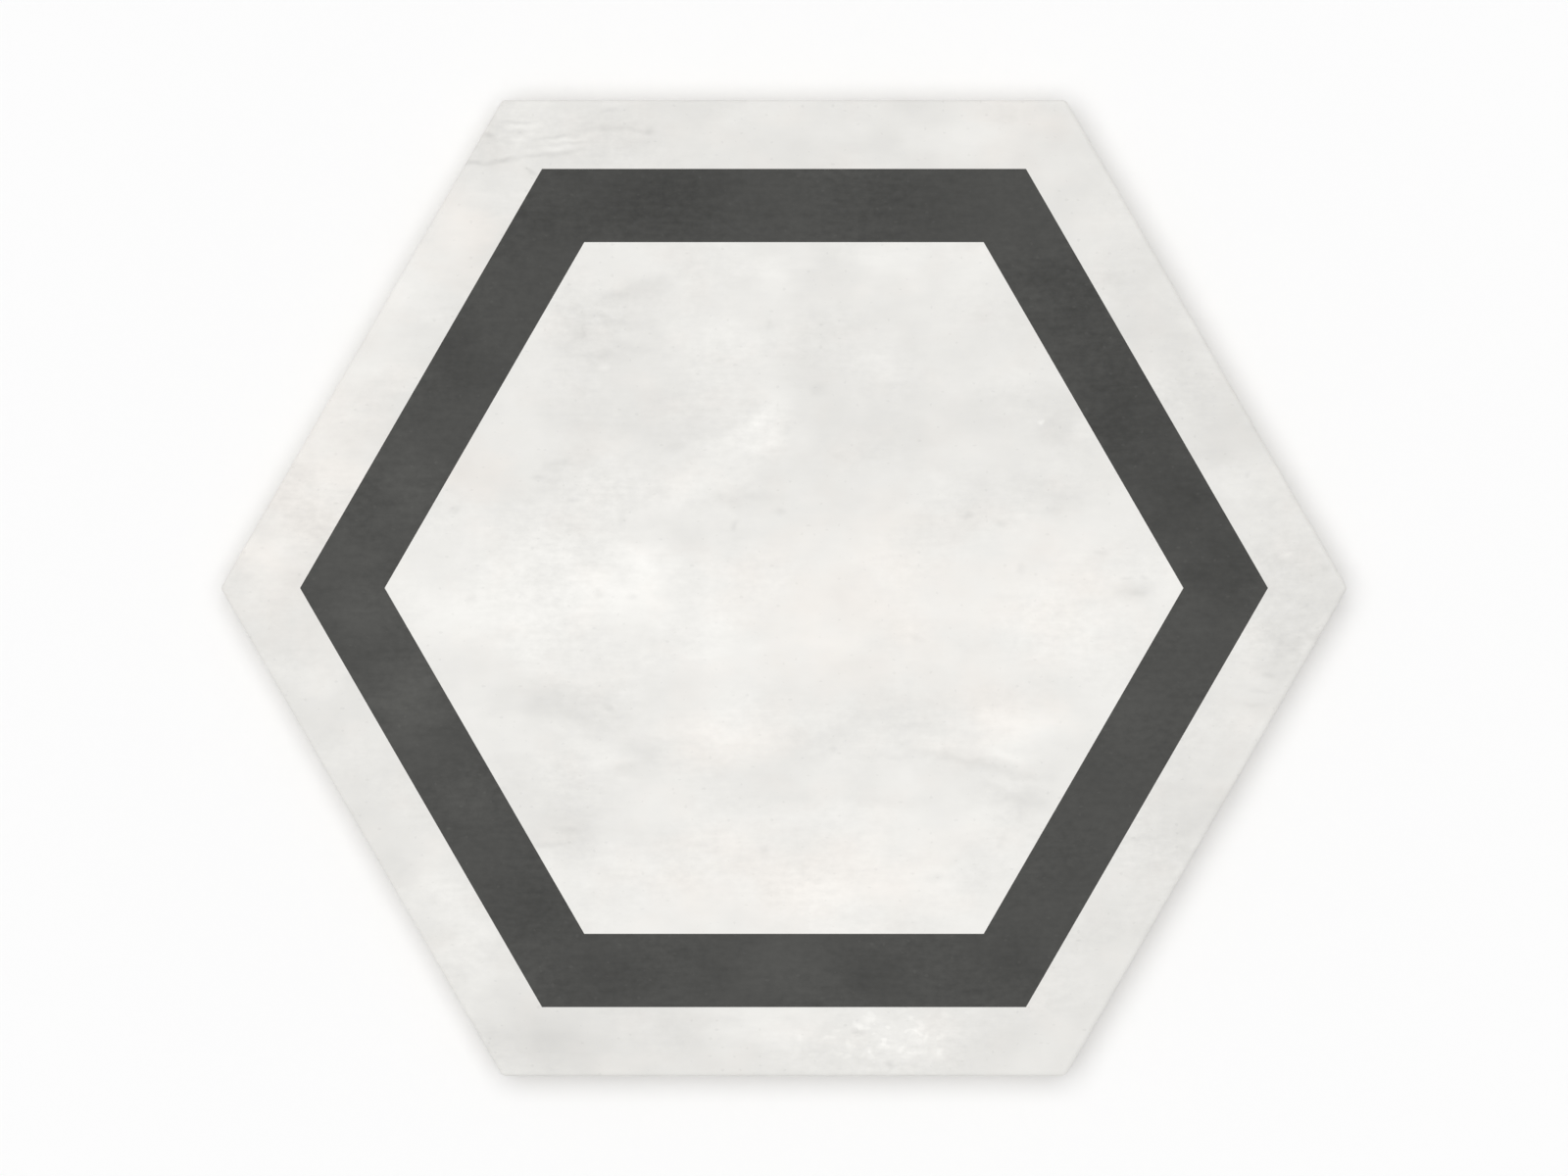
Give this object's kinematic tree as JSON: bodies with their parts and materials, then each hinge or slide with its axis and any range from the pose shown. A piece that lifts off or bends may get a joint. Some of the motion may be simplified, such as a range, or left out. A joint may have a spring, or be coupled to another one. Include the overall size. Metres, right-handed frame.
{
  "type": "hexagon floor tile",
  "caption": "Flat hexagonal floor tile of pressed porcelain: pale cement-look glazed face with a dark hexagonal band, tapered sides and a honeycomb back.",
  "frame": {"origin": "centre of the tile's back, in the plane that it is bedded on", "axes": "+Z out of the face; +X towards one of the six corners; +Y towards the middle of a side"},
  "size_m": [0.2018, 0.175, 0.009],
  "materials": {
    "glazed_porcelain": "matt off-white glaze with a charcoal band on the face, bare pale clay on the sides and back"
  },
  "bodies": {
    "root": {"hexagon_tile": "glazed_porcelain"}
  },
  "joints": []
}
